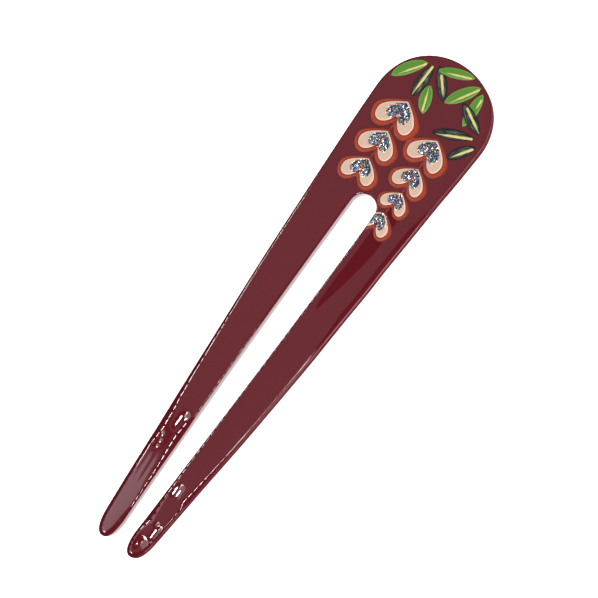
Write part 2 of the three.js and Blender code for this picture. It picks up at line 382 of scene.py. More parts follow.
# Past this y the face falls away by this slope, after a bend this long.
THIN_FROM, THIN_SLOPE, THIN_BEND = -36, 0.007, 3
STREAK_DEPTH = 0.004  # of the buffing streaks on the left tip
DIP_DEPTH = 0.12  # of the face on the right, from the middle to the hearts
HEAD_MIDDLE = 50  # y that the head's outline strays away from
SHOULDER_ANGLE, SHOULDER_SPREAD = 0.85, 0.42  # where it strays most, in radians above +X


def sawn_off_line(flat):
    """How far the hand-sawn outline strays outwards from the drawn one."""
    x, y = flat.T
    # The left side is fuller from the middle up and at the tip. The right prong is a little
    # fuller, and the side under the head a little leaner.
    left = 0.24 * smooth((y + 20) / 30) * smooth((58 - y) / 16) + 0.1 * smooth((-40 - y) / 15)
    right = 0.2 * smooth((y + 48) / 20) * smooth((6 - y) / 16) + 0.05
    right = right - 0.16 * smooth((y - 12) / 8) * smooth((46 - y) / 8)
    sideways = smooth((np.abs(x) - 3) / 5) * np.where(x < 0, -left, right)
    # The head's corners were sawn short, so they stand out, most on the right.
    from_middle = np.stack([x, y - HEAD_MIDDLE], 1)
    distance = np.maximum(1, np.linalg.norm(from_middle, axis=1))
    turned = np.arctan2(y - HEAD_MIDDLE, np.abs(x)) - SHOULDER_ANGLE
    shoulder = np.exp(-((turned / SHOULDER_SPREAD) ** 2))
    outwards = shoulder * smooth((y - HEAD_MIDDLE) / 6) * smooth((distance - 10) / 5)
    outwards = outwards * np.where(x < 0, 0.2, 0.36)
    moved = from_middle / distance[:, None] * outwards[:, None]
    moved[:, 0] += sideways
    return moved


def hand_finish(x, y):
    """How far the face lies below flat: thinned tips, a dip beside the slot, and grooves."""
    past = np.maximum(0, THIN_FROM - y)
    thinned = THIN_SLOPE * (np.sqrt(past**2 + THIN_BEND**2) - THIN_BEND)
    in_streaks = STREAK_DEPTH * (smooth((-40 - y) / 3) * smooth((y + 55) / 8))
    thinned = thinned + np.where(x < 0, in_streaks * np.sin(4.2 * x + 0.35 * y), 0)
    reach = np.clip(1.2 + 0.2 * (y - 5), 1.2, 4.2)
    dip = DIP_DEPTH * smooth((x - 4.6) / reach) * smooth((y - 1) / 12) * smooth((38 - y) / 12)
    total = thinned + dip
    for centre, start, end, across, depth, sink, fade in GROOVES:
        along = smooth((start - y) / sink) * smooth((y - end) / fade)
        total = total + depth * along * np.exp(-0.5 * ((x - centre) / across) ** 2)
    for centre_x, centre_y, across, along, depth in DENTS:
        off_centre = ((x - centre_x) / across) ** 2 + ((y - centre_y) / along) ** 2
        total = total + depth * np.exp(-0.5 * off_centre)
    return total


# --- Outlines of the decoration -----------------------------------------------------------

# Proportions of a heart of size 1, in millimetres: its reach to the left and right of its axis,
# and its height. Then, as shares of those: how far down it is widest, how far out a lobe is
# lowest, and how far down the notch is. drop is from the border's tip to this coat's tip.
BORDER = dict(left=6.3, right=6.05, height=9.1, widest=0.58, foot=0.55, notch=0.74, drop=0)
PETAL = dict(left=5.08, right=4.62, height=7.1, widest=0.67, foot=0.66, notch=0.56, drop=0.72)
GLITTER = dict(left=2.9, right=2.75, height=4.8, widest=0.66, foot=0.6, notch=0.8, drop=1.12)

# x and y are the tip of a heart's border. sag is how much lower its right lobe hangs than its
# left. Its border laps over those of the hearts named in over.
HEARTS = {
    "heart_1": dict(x=-5.9, y=54.2, size=1, sag=-0.15, over=()),
    "heart_2": dict(x=-5.7, y=46.0, size=0.9, sag=-0.1, over=("heart_1",)),
    "heart_3": dict(x=5.0, y=50.72, size=0.94, sag=0.4, over=("heart_1",)),
    "heart_4": dict(x=-5.5, y=38.4, size=0.84, sag=-0.45, over=("heart_2",)),
    "heart_5": dict(x=5.3, y=42.85, size=0.81, sag=0.25, over=("heart_3",)),
    "heart_6": dict(x=5.5, y=36.15, size=0.67, sag=0.3, over=("heart_5",)),
    "heart_7": dict(x=4.85, y=30.2, size=0.71, sag=0.3, over=("heart_6",)),
}

# Flakes that strayed out of the glitter.
STRAYS = {
    "heart_1": ((-9.6, 49.2),),
    "heart_4": ((-3.0, 36.3), (-2.6, 35.2)),
    "heart_5": ((4.4, 38.4), (6.9, 39.1)),
    "heart_7": ((5.8, 29.3), (7.0, 27.9), (6.5, 28.9)),
}

CUT_BY_SLOT = ("heart_6", "heart_7")

# Where rust lacquer ran from the tip of this heart to the notch of the one above.
DRIPS = {
    "heart_2": ((-5.65, 45.5), (-5.6, 48.4)),
    "heart_4": ((-5.45, 37.9), (-5.35, 40.6)),
    "heart_5": ((5.3, 42.3), (5.2, 44.9)),
    "heart_6": ((5.45, 35.6), (5.25, 37.5)),
    "heart_7": ((4.95, 29.8), (5.2, 31.4)),
}

# Stem and tip of a leaf, its bulges to the left and right of that line, where its vein's stroke
# starts and ends, and the leaves that it lies over.
LEAVES = {
    "leaf_light_1": ((-12.9, 56.2), (-7.6, 63.4), 1.75, 1.05, (-11.75, 57.4), (-7.6, 63.1), ()),
    "leaf_light_2": (
        (-4.6, 63.4), (3.5, 66.6), 1.35, 1.05, (-2.9, 63.8), (2.95, 66.15), ("leaf_dark_2",)
    ),
    "leaf_light_3": (
        (-4.0, 59.5), (-1.6, 53.2), 1.15, 1.75, (-3.9, 58.7), (-1.95, 53.5), ("leaf_dark_1",)
    ),
    "leaf_light_4": (
        (0.95, 58.1), (5.9, 65.55), 1.55, 1.4, (2.1, 58.8), (5.9, 65.1), ("leaf_dark_2",)
    ),
    "leaf_light_5": ((7.7, 56.0), (7.15, 64.65), 1.3, 1.3, (7.85, 60.9), (7.65, 63.5), ()),
    "leaf_dark_1": ((-6.15, 63.6), (-6.0, 55.0), 1.35, 1.45, (-6.25, 55.3), (-6.12, 63.5), ()),
    "leaf_dark_2": ((-4.95, 64.3), (0.7, 58.0), 1.35, 1.1, (0.04, 59.0), (-3.45, 62.95), ()),
    "leaf_dark_3": (
        (4.55, 60.5), (11.9, 56.6), 1.35, 1.4, (11.75, 56.85), (5.9, 60.1), ("leaf_light_5",)
    ),
    "leaf_dark_4": ((2.7, 51.1), (11.5, 55.2), 1.45, 1.15, (3.7, 51.2), (11.4, 55.0), ()),
    "leaf_dark_5": ((9.2, 48.0), (13.0, 53.8), 1.45, 1.15, (9.75, 48.8), (12.85, 53.3), ()),
}


def half_heart(side, reach, height, notch_y, shape):
    """One half of a heart from its tip at the origin, round a lobe to the notch.

    The handles of its curves are shares of its reach and height.
    """
    widest = -shape["widest"] * height
    foot = side * shape["foot"] * reach
    tip, flank, lobe, notch = (0, 0), (side * reach, widest), (foot, -height), (0, notch_y)
    return joined(
        cubic(tip, (side * 0.35 * reach, -0.12 * height), (side * reach, 0.62 * widest), flank, 28),
        cubic(
            flank,
            (side * reach, widest - 0.6 * (height + widest)),
            (foot + side * 0.22 * reach, -height),
            lobe,
            20,
        ),
        cubic(
            lobe,
            (foot - side * 0.32 * reach, -height),
            (side * 0.15 * reach, notch_y - 0.4 * (height + notch_y)),
            notch,
            20,
        ),
    )


def heart_outline(heart, shape):
    """Closed outline of one coat of a heart, where the heart hangs."""
    size, sag = heart["size"], heart["sag"]
    height = shape["height"] * size
    notch_y = -shape["notch"] * height
    left = half_heart(-1, shape["left"] * size, height - sag / 2, notch_y, shape)
    right = half_heart(1, shape["right"] * size, height + sag / 2, notch_y, shape)
    outline = np.concatenate([left, right[::-1][1:-1]])
    return outline + np.array([heart["x"], heart["y"] - shape["drop"] * size])


def along_and_across(start, end):
    """Unit vectors along a stroke and to its left, and its length."""
    run = np.array(end, float) - np.array(start, float)
    size = np.linalg.norm(run)
    run /= size
    return run, np.array([-run[1], run[0]]), size


def leaf_outline(leaf):
    """Closed outline of a leaf."""
    stem, tip, left, right = leaf[:4]
    run, side, size = along_and_across(stem, tip)
    fullness = 4 / 3  # a curve's handles stand out by this times its bulge

    def place(u, v):
        return np.array(stem) + run * u + side * v

    near, far = 0.16 * size, 0.84 * size
    low = cubic(stem, place(near, -right * fullness), place(far, -right * fullness), tip, 44)
    high = cubic(tip, place(far, left * fullness), place(near, left * fullness), stem, 44)
    return np.concatenate([low, high[1:-1]])


# --- Meshes -------------------------------------------------------------------------------


# Kind of a mesh attribute, and the field that holds it, by the shape of one value.
ATTRIBUTES = {
    (): ("FLOAT", "value"),
    (3,): ("FLOAT_VECTOR", "vector"),
    (4,): ("FLOAT_COLOR", "color"),
}
WELD = 0.0005  # vertices that lie this close are one


def new_piece(name, vertices, faces, materials, node, slot, values=None, second=()):
    """Makes a smooth closed mesh from millimetres, which stands for a CAD node.

    The faces numbered in second take the second of two materials.
    """
    mesh = bpy.data.meshes.new(name)
    mesh.from_pydata((np.asarray(vertices, float) * MM).tolist(), [], faces)
    for key, numbers in (values or {}).items():
        numbers = np.asarray(numbers, np.float32)
        kind, field = ATTRIBUTES[numbers.shape[1:]]
        mesh.attributes.new(key, kind, "POINT").data.foreach_set(field, numbers.ravel())
    for number in second:
        mesh.polygons[number].material_index = 1
    made = bmesh.new()
    made.from_mesh(mesh)
    bmesh.ops.remove_doubles(made, verts=made.verts, dist=WELD * MM)
    bmesh.ops.recalc_face_normals(made, faces=made.faces)
    made.to_mesh(mesh)
    made.free()
    mesh.polygons.foreach_set("use_smooth", [True] * len(mesh.polygons))
    for material in materials:
        mesh.materials.append(material)
    piece = bpy.data.objects.new(name, mesh)
    bpy.context.scene.collection.objects.link(piece)
    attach(piece, "root")
    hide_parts(node)
    return piece


TIP_ROWS, PRONG_ROWS, HEAD_ROWS = 44, 300, 130
BAND_COLUMNS, MIDDLE_COLUMNS = 16, 24


def stations(fork):
    """Pairs of points on the slot and on the outer outline, round the right half of the fork."""
    turn = np.linspace(0, math.pi / 2, TIP_ROWS)
    tip = fork.tip_y + PRONG_TIP_REACH * (1 - np.cos(turn))
    prong = np.linspace(tip[-1], SLOT_END_Y, PRONG_ROWS)
    y = np.concatenate([tip, prong[1:]])
    slot_low, outer_low = (
        np.stack([np.interp(y, line[:, 1], line[:, 0]), y], 1) for line in (fork.slot, fork.outer)
    )
    run = run_along(fork.outer)
    start = np.interp(SLOT_END_Y, fork.outer[:, 1], run)
    share = np.linspace(0, 1, HEAD_ROWS)[1:]
    reached = start + (run[-1] - start) * share
    outer_high = np.stack([np.interp(reached, run, part) for part in fork.outer.T], 1)
    angle = share * math.pi / 2
    slot_high = np.stack(
        [SLOT_RADIUS * np.cos(angle), SLOT_END_Y + SLOT_RADIUS * np.sin(angle)], 1
    )
    return np.concatenate([slot_low, slot_high]), np.concatenate([outer_low, outer_high])


SLOT_BAND, RIM_BAND = 1.3, 1.7  # widths beside the slot and the outer edge with close columns
BANDS_SHARE = 0.8  # how much of a narrow row the two bands take at most
LEAST_THICKNESS = 0.3
LEDGE = 0.05  # a row this far below the face keeps the walls upright


def fork_mesh(fork):
    """Vertices, faces, values and cut faces of the fork, in rows from the slot outwards."""
    inner, outer = stations(fork)
    inner = np.concatenate([inner, inner[::-1][1:] * MIRROR])
    outer = np.concatenate([outer, outer[::-1][1:] * MIRROR])
    width = np.linalg.norm(outer - inner, axis=1)
    turn = 1 - np.cos(np.linspace(0, math.pi / 2, BAND_COLUMNS))
    fit = np.minimum(1, BANDS_SHARE * width / (SLOT_BAND + RIM_BAND))[:, None]
    low, high = SLOT_BAND * turn * fit, width[:, None] - (RIM_BAND * turn)[::-1] * fit
    between = np.linspace(0, 1, MIDDLE_COLUMNS)[1:-1]
    middle = low[:, -1:] + (high[:, :1] - low[:, -1:]) * between
    across = np.concatenate([low, middle, high], 1)
    share = across / np.maximum(width, 1e-9)[:, None]
    places = inner[:, None] + (outer - inner)[:, None] * share[..., None]
    rows, columns = places.shape[:2]
    count = rows * columns
    flat = places.reshape(-1, 2)
    top = fork.top(flat)
    bottom = np.minimum(fork.bottom(flat), top - LEAST_THICKNESS)
    sawn = flat + sawn_off_line(flat)
    vertices = np.concatenate([np.column_stack([sawn, top]), np.column_stack([sawn, bottom])])
    filed = fork.filed(flat)
    faces, cut_faces = [], []
    for i in range(rows - 1):
        for j in range(columns - 1):
            a = i * columns + j
            quad = (a, a + 1, a + columns + 1, a + columns)
            if i % FILE_ROWS < FILED_ROWS and filed[a]:
                cut_faces.append(len(faces))
            faces.append(quad)
            faces.append(tuple(v + count for v in reversed(quad)))
    for j in (0, columns - 1):
        start = len(vertices)
        vertices = np.concatenate([vertices, vertices[j:count:columns] - np.array([0, 0, LEDGE])])
        for i in range(rows - 1):
            a = i * columns + j
            for upper, step, lower, drop in (
                (a, columns, start + i, 1), (start + i, 1, a + count, columns)
            ):
                wall = (upper, upper + step, lower + drop, lower)
                faces.append(tuple(reversed(wall)) if j else wall)
                if j:
                    cut_faces.append(len(faces) - 1)
    run = run_along(outer)
    values = {"edge_run": np.concatenate([np.tile(np.repeat(run, columns), 2), np.tile(run, 2)])}
    return vertices, faces, values, cut_faces


RINGS = (0.03, 0.08, 0.15, 0.24)  # gaps from a coat's edge where it has rings of places
ROW_STEP = 0.866  # rows of a triangular lattice, as a share of its spacing


def coat_mesh(outline, spacing, rings=RINGS, cut=None):
    """Places and triangles that fill an outline, less what the half outline cut takes away.

    The third value is the closed outline.
    """
    along = np.roll(outline, -1, 0) - np.roll(outline, 1, 0)
    normal = np.stack([-along[:, 1], along[:, 0]], 1)
    normal /= np.maximum(np.linalg.norm(normal, axis=1), 1e-9)[:, None]
    edge = closed(outline)
    if not inside(outline[5:6] + normal[5:6] * 0.02, outline)[0]:
        normal = -normal
    places = [outline]
    for gap in rings:
        ring = outline + normal * gap
        # a place that came too near another stretch of the edge is dropped
        keep = inside(ring, outline) & (distance_to(ring, edge) > 0.93 * gap)
        places.append(ring[keep])
    low, high = outline.min(0), outline.max(0)
    xs = np.arange(low[0], high[0], spacing)
    ys = np.arange(low[1], high[1], spacing * ROW_STEP)
    lattice = np.array([(x + (k % 2) * spacing / 2, y) for k, y in enumerate(ys) for x in xs])
    lattice = lattice[inside(lattice, outline)]
    lattice = lattice[distance_to(lattice, edge) > rings[-1] + 0.55 * spacing]
    places.append(lattice)
    points = np.concatenate(places)
    count = len(outline)
    bounds = [(i, (i + 1) % count) for i in range(count)]
    if cut is not None:
        start = len(points)
        points = np.concatenate([points, cut])
        bounds += [(start + i, start + i + 1) for i in range(len(cut) - 1)]
    found = delaunay_2d_cdt([Vector(p) for p in points], bounds, [], 0, 1e-6)
    flat = np.array([tuple(v) for v in found[0]])
    faces = np.array(found[2])
    centres = flat[faces].mean(1)
    keep = inside(centres, outline)
    if cut is not None:
        keep &= ~inside(centres, both_halves(cut))
    faces = faces[keep]
    used = np.unique(faces)
    where = np.full(len(flat), -1)
    where[used] = np.arange(len(used))
    return flat[used], where[faces], edge


def closed_coat(flat, faces, top, bottom):
    """Vertices and faces of a closed body between two heights over the same places."""
    count = len(flat)
    vertices = np.concatenate([np.column_stack([flat, top]), np.column_stack([flat, bottom])])
    edges = {}
    for face in faces:
        for a, b in zip(face, np.roll(face, -1)):
            edges[(int(a), int(b))] = True
    walls = [(a, b) for a, b in edges if (b, a) not in edges]
    sides = [(b, a, a + count, b + count) for a, b in walls]
    upper = [tuple(int(v) for v in face) for face in faces]
    lower = [tuple(int(v) + count for v in reversed(face)) for face in faces]
    return vertices, upper + lower + sides


LAP_REACH, LAP_SLOPE = 0.12, 0.3  # how far before another coat a coat rises, and over what width
LAP_HEIGHT = 0.85  # how far it rises, as a share of a coat
EDGE_HEIGHT = 0.2  # of a coat at its very edge, as a share of its full height
UNDERSIDE = 0.04  # how far a coat reaches down into what is below it
BED_THICKNESS, BED_SOFT = 0.8, 0.6  # a glitter bed, in coats, and the width of its edge


def edge_profile(gap, width):
    """Share of its full height that a coat has at that gap from its edge."""
    inward = 1 - np.clip(gap / width, 0, 1)
    return EDGE_HEIGHT + (1 - EDGE_HEIGHT) * np.sqrt(np.maximum(0, 1 - inward**2))


class Brush:
    """Lays coats of lacquer on the fork, over the coats inside the outlines below."""

    def __init__(self, fork, lacquer, below):
        self.fork, self.below = fork, below
        self.coat, self.soft = lacquer.coat / MM, lacquer.soft_edge / MM

    def ground(self, flat):
        """Height of the fork's face, and of the coats there that the next one laps over."""
        lift = np.zeros(len(flat))
        for outline in self.below:
            gap = distance_to(flat, closed(outline))
            gap = np.where(inside(flat, outline), gap, -gap)
            rise = self.coat * LAP_HEIGHT * smooth((gap + LAP_REACH) / LAP_SLOPE)
            lift = np.maximum(lift, rise)
        return self.fork.top(flat) + lift

    def lay(self, name, look, mesh, level=0, thickness=1, soft=None, **more):
        """Makes a piece of one coat, whose level and thickness count in coats.

        look is its material, its node and a slot name, which is not used. more is what else the
        material needs at each place.
        """
        flat, faces, edge = mesh
        material, node, slot = look
        gap = distance_to(flat, edge)
        base = self.ground(flat) + level * self.coat
        top = base + thickness * self.coat * edge_profile(gap, soft or self.soft)
        values = {"edge_gap": gap} | {key: work_out(flat) for key, work_out in more.items()}
        values = {key: np.concatenate([found, found]) for key, found in values.items()}
        solid = closed_coat(flat, faces, top, base - UNDERSIDE)
        return new_piece(name, *solid, [material], node, slot, values)


STROKE_GRID = (40, 9)  # places along a brush stroke and over it


def vein_mesh(start, end, wide, coat, ground):
    """A raised brush stroke, pointed where it starts and round where it ends."""
    run, side, size = along_and_across(start, end)
    half, (rows, arch) = wide / 2, STROKE_GRID
    share = np.linspace(0, 1, rows)
    u = share * size
    to_end = np.clip((size - u) / half, 0, 1)
    # it starts narrow, and has its full width after a little under half of its run
    width = half * (0.16 + 0.84 * smooth(share / 0.45)) * np.sqrt(1 - (1 - to_end) ** 2)
    width *= 1 + 0.07 * np.sin(u * 3.1) + 0.05 * np.sin(u * 7.7 + 1)  # an unsteady hand
    width = np.maximum(width, 0.012)
    angle = np.linspace(math.pi, 0, arch)
    across = np.cos(angle)[None] * width[:, None]
    flat = np.array(start) + run * u[:, None, None] + side * across[..., None]
    flat = flat.reshape(-1, 2)
    rise = (coat * np.sin(angle)[None] * (width / half)[:, None] ** 0.5).reshape(-1)
    base = ground(flat)
    count = len(flat)
    vertices = np.concatenate(
        [np.column_stack([flat, base + rise - 0.005]), np.column_stack([flat, base - 0.05])]
    )
    faces = []
    for i in range(rows - 1):
        for j in range(arch - 1):
            a = i * arch + j
            faces.append((a, a + 1, a + arch + 1, a + arch))
            faces.append((a + count, a + arch + count, a + arch + 1 + count, a + 1 + count))
        for j in (0, arch - 1):
            a = i * arch + j
            faces.append((a, a + arch, a + arch + count, a + count))
    for i in (0, rows - 1):
        for j in range(arch - 1):
            a = i * arch + j
            faces.append((a, a + count, a + 1 + count, a + 1))
    return vertices, faces


# --- Materials ----------------------------------------------------------------------------

# Inputs of a node that mixes colours: how much of the second, the first, the second.
AMOUNT, FIRST, SECOND = 0, 6, 7
COLOURS = {"output": 2, "data_type": "RGBA"}  # makes a node mix colours
SOFTLY = {"interpolation_type": "SMOOTHSTEP"}  # makes a range start and end softly
SAW_PITCH = 0.5  # spacing of the saw lines on the outer wall, in millimetres
WHITE = (1, 1, 1, 1)
SATIN_LACQUER = {"IOR": 1.5, "Specular IOR Level": 0.2}  # dull, as unpolished lacquer is


def add(tree, kind, inputs, output=0, **settings):
    """Adds a shader node, sets or links its inputs, and gives one of its outputs."""
    made = tree.nodes.new("ShaderNode" + kind)
    for name, value in settings.items():
        setattr(made, name, value)
    for name, value in inputs.items():
        if isinstance(value, bpy.types.NodeSocket):
            tree.links.new(value, made.inputs[name])
        else:
            made.inputs[name].default_value = value
    return made.outputs[output] if len(made.outputs) else None


def new_material(name):
    """A material with no nodes yet, and its node tree.

    The constants of its shader are set on the shader's own sockets.
    """
    made = bpy.data.materials.new(name)
    made.use_nodes = True
    made.node_tree.nodes.clear()
    return made, made.node_tree


def per_mm(size):
    """Scale of a pattern whose features are that many millimetres apart."""
    return 1 / (size * MM)


def darker(tint, share):
    """A colour with its red, green and blue turned down."""
    return (tint[0] * share, tint[1] * share, tint[2] * share, 1.0)


def burgundy_acetate(colours):
    """Cellulose acetate sheet, routed and tumble polished."""
    # A deep, slightly clouded red under a mirror-smooth skin that polishing left a little wavy.
    made, tree = new_material("burgundy_cellulose_acetate")
    place = add(tree, "TexCoord", {}, "Object")
    cloud = add(tree, "TexNoise", {"Scale": per_mm(9), "Detail": 3, "Vector": place})
    tint = add(
        tree,
        "Mix",
        {AMOUNT: cloud, FIRST: colours.acetate, SECOND: colours.acetate_cloud},
        **COLOURS,
    )
    swell = add(tree, "TexNoise", {"Scale": per_mm(16), "Detail": 1, "Vector": place})
    waves = add(tree, "Bump", {"Strength": 1, "Distance": 0.03 * MM, "Height": swell})
    shader = add(
        tree,
        "BsdfPrincipled",
        {"Base Color": tint, "Normal": waves, "Roughness": 0.045, "IOR": 1.49},
    )
    add(tree, "OutputMaterial", {"Surface": shader})
    return made


def sawn_acetate(colours):
    """The same cellulose acetate on the outer cut and in file strokes, not polished."""
    # Matt and darker than the face, with faint upright saw lines.
    made, tree = new_material("sanded_cellulose_acetate")
    run = add(tree, "Attribute", {}, "Fac", attribute_name="edge_run")
    line = add(
        tree, "TexNoise", {"Scale": 1 / SAW_PITCH, "Detail": 2, "W": run}, noise_dimensions="1D"
    )
    tint = add(
        tree,
        "Mix",
        {
            AMOUNT: line,
            FIRST: darker(colours.acetate, 0.8),
            SECOND: darker(colours.acetate, 0.6),
        },
        **COLOURS,
    )
    shader = add(
        tree,
        "BsdfPrincipled",
        {"Base Color": tint, "Roughness": 0.95, "IOR": 1.49, "Specular IOR Level": 0.05},
    )
    add(tree, "OutputMaterial", {"Surface": shader})
    return made


def rust_lacquer(colours):
    """Nitrocellulose lacquer, flowed on in a ring and left to level."""
    # A soft orange satin film that goes brown where it thins out, with painted shade beside the
    # petal: a dark line where the raised petal would shade the ring. Its streaks of pigment are
    # about
    # 0.9 mm apart.
    made, tree = new_material("rust_nitrocellulose_lacquer")
    place = add(tree, "TexCoord", {}, "Object")
    edge = add(tree, "Attribute", {}, "Fac", attribute_name="edge_gap")
    line = add(tree, "Attribute", {}, "Fac", attribute_name="petal_gap")
    flow = add(tree, "TexNoise", {"Scale": per_mm(0.9), "Detail": 4, "Vector": place})
    ragged = add(tree, "Math", {0: flow, 1: 0.16}, operation="MULTIPLY")
    thick = add(tree, "Math", {0: edge, 1: ragged}, operation="SUBTRACT")
    body = add(tree, "MapRange", {"Value": thick, "From Min": -0.03, "From Max": 0.52}, **SOFTLY)
    shade = add(
        tree,
        "Mix",
        {AMOUNT: flow, FIRST: colours.border, SECOND: darker(colours.border, 0.72)},
        **COLOURS,
    )
    film = add(tree, "Mix", {AMOUNT: body, FIRST: colours.border_edge, SECOND: shade}, **COLOURS)
    # Painted shade: the ring turns dark close to the petal, as under the petal's raised edge.
    beside = add(
        tree,
        "MapRange",
        {"Value": line, "From Min": 0.08, "From Max": 0.34, "To Min": 1, "To Max": 0},
        **SOFTLY,
    )
    tint = add(tree, "Mix", {AMOUNT: beside, FIRST: film, SECOND: colours.border_line}, **COLOURS)
    relief = add(tree, "Bump", {"Strength": 1, "Distance": 0.02 * MM, "Height": flow})
    shader = add(
        tree,
        "BsdfPrincipled",
        {"Base Color": tint, "Normal": relief, "Roughness": 0.4} | SATIN_LACQUER,
    )
    add(tree, "OutputMaterial", {"Surface": shader})
    return made


def peach_lacquer(colours):
    """Pearl lacquer: nitrocellulose with mica, brushed on."""
    # Pale and soft, with a fine mica speckle and a painted highlight: a paler rim where the
    # rounded edge of the petal would catch the light. Mica is about 0.05 mm, drawn at 0.3 mm to
    # show.
    made, tree = new_material("peach_pearl_lacquer")
    place = add(tree, "TexCoord", {}, "Object")
    edge = add(tree, "Attribute", {}, "Fac", attribute_name="edge_gap")
    mica = add(tree, "TexNoise", {"Scale": per_mm(0.3), "Detail": 2, "Vector": place})
    spread = add(tree, "MapRange", {"Value": mica, "From Min": 0.3, "From Max": 0.7})
    speckle = add(
        tree,
        "Mix",
        {AMOUNT: spread, FIRST: darker(colours.petal, 0.86), SECOND: colours.petal},
        **COLOURS,
    )
    # Painted highlight: the petal is tinted paler towards its edge, as if lit along its rounded
    # rim.
    inner = add(tree, "MapRange", {"Value": edge, "From Min": 0.05, "From Max": 0.4}, **SOFTLY)
    tint = add(tree, "Mix", {AMOUNT: inner, FIRST: colours.petal_rim, SECOND: speckle}, **COLOURS)
    relief = add(tree, "Bump", {"Strength": 1, "Distance": 0.012 * MM, "Height": mica})
    shader = add(
        tree,
        "BsdfPrincipled",
        {"Base Color": tint, "Normal": relief, "Roughness": 0.42} | SATIN_LACQUER,
    )
    add(tree, "OutputMaterial", {"Surface": shader})
    return made


def glitter_bed(colours):
    """Indigo lacquer, laid on thick to hold the flakes."""
    # Dark and wet-looking between the flakes, with small lumps where they are buried.
    made, tree = new_material("indigo_glitter_lacquer")
    place = add(tree, "TexCoord", {}, "Object")
    lumps = add(tree, "TexVoronoi", {"Scale": per_mm(0.4), "Vector": place})
    tint = add(
        tree,
        "Mix",
        {
            AMOUNT: lumps,
            FIRST: colours.glitter_bed,
            SECOND: darker(colours.glitter_bed, 0.4),
        },
        **COLOURS,
    )
    relief = add(tree, "Bump", {"Strength": 1, "Distance": 0.05 * MM, "Height": lumps})
    shader = add(
        tree,
        "BsdfPrincipled",
        {"Base Color": tint, "Normal": relief, "Roughness": 0.25, "IOR": 1.5},
    )
    add(tree, "OutputMaterial", {"Surface": shader})
    return made


def glitter_foil():
    """Holographic polyester glitter, cut into hexagons."""
    # Each flake takes one colour from the light and mirrors it weakly, under a lacquer film.
    made, tree = new_material("holographic_polyester_glitter")
    place = add(tree, "TexCoord", {}, "Object")
    tone = add(tree, "Attribute", {}, attribute_name="flake_tint")
    fine = add(tree, "TexNoise", {"Scale": per_mm(0.15), "Vector": place})
    tint = add(
        tree, "Mix", {AMOUNT: fine, FIRST: tone, SECOND: WHITE}, **COLOURS, blend_type="SOFT_LIGHT"
    )
    shader = add(tree, "BsdfPrincipled", {"Base Color": tint, "Metallic": 0.55, "Roughness": 0.22})
    add(tree, "OutputMaterial", {"Surface": shader})
    return made


def light_leaf_lacquer(colours):
    """Green nitrocellulose lacquer, brushed on in one stroke."""
    # Even, slightly streaked along the leaf, with a paler raised rim.
    made, tree = new_material("leaf_green_lacquer")
    grain = add(tree, "Attribute", {}, "Vector", attribute_name="grain")
    edge = add(tree, "Attribute", {}, "Fac", attribute_name="edge_gap")
    streak = add(tree, "TexNoise", {"Scale": 1.6, "Detail": 3, "Vector": grain})
    body = add(
        tree,
        "Mix",
        {AMOUNT: streak, FIRST: darker(colours.light_leaf, 0.82), SECOND: colours.light_leaf},
        **COLOURS,
    )
    rim = add(
        tree,
        "MapRange",
        {"Value": edge, "From Min": 0.1, "From Max": 0.4, "To Min": 1, "To Max": 0},
        **SOFTLY,
    )
    tint = add(tree, "Mix", {AMOUNT: rim, FIRST: body, SECOND: colours.light_leaf_rim}, **COLOURS)
    relief = add(tree, "Bump", {"Strength": 1, "Distance": 0.02 * MM, "Height": streak})
    shader = add(
        tree,
        "BsdfPrincipled",
        {"Base Color": tint, "Normal": relief, "Roughness": 0.4} | SATIN_LACQUER,
    )
    add(tree, "OutputMaterial", {"Surface": shader})
    return made


def dark_leaf_lacquer(colours):
    """Bottle green lacquer, dragged with a nearly dry brush."""
    # Bristle tracks about 0.3 mm apart run from stem to tip, pale on a near-black green.
    made, tree = new_material("bottle_green_lacquer")
    grain = add(tree, "Attribute", {}, "Vector", attribute_name="grain")
    edge = add(tree, "Attribute", {}, "Fac", attribute_name="edge_gap")
    streak = add(tree, "TexNoise", {"Scale": 2.4, "Detail": 3, "Vector": grain})
    tracks = add(tree, "MapRange", {"Value": streak, "From Min": 0.46, "From Max": 0.66})
    inner = add(tree, "MapRange", {"Value": edge, "From Min": 0.1, "From Max": 0.6}, **SOFTLY)
    share = add(tree, "Math", {0: tracks, 1: inner}, operation="MULTIPLY")
    tint = add(
        tree,
        "Mix",
        {AMOUNT: share, FIRST: colours.dark_leaf, SECOND: colours.dark_leaf_streak},
        **COLOURS,
    )
    relief = add(tree, "Bump", {"Strength": 1, "Distance": 0.05 * MM, "Height": streak})
    shader = add(
        tree,
        "BsdfPrincipled",
        {"Base Color": tint, "Normal": relief, "Roughness": 0.42} | SATIN_LACQUER,
    )
    add(tree, "OutputMaterial", {"Surface": shader})
    return made


def vein_lacquer(colours):
    """Straw yellow lacquer with a little gold mica, drawn with a fine liner brush."""
    # A raised satin line, a little uneven in tone.
    made, tree = new_material("straw_gold_lacquer")
    place = add(tree, "TexCoord", {}, "Object")
    mica = add(tree, "TexNoise", {"Scale": per_mm(0.5), "Detail": 2, "Vector": place})
    tint = add(
        tree,
        "Mix",
        {AMOUNT: mica, FIRST: colours.vein, SECOND: darker(colours.vein, 0.75)},
        **COLOURS,
    )
    shader = add(
        tree,
        "BsdfPrincipled",
        {"Base Color": tint, "Roughness": 0.38, "IOR": 1.5, "Specular IOR Level": 0.3},
    )
    add(tree, "OutputMaterial", {"Surface": shader})
    return made


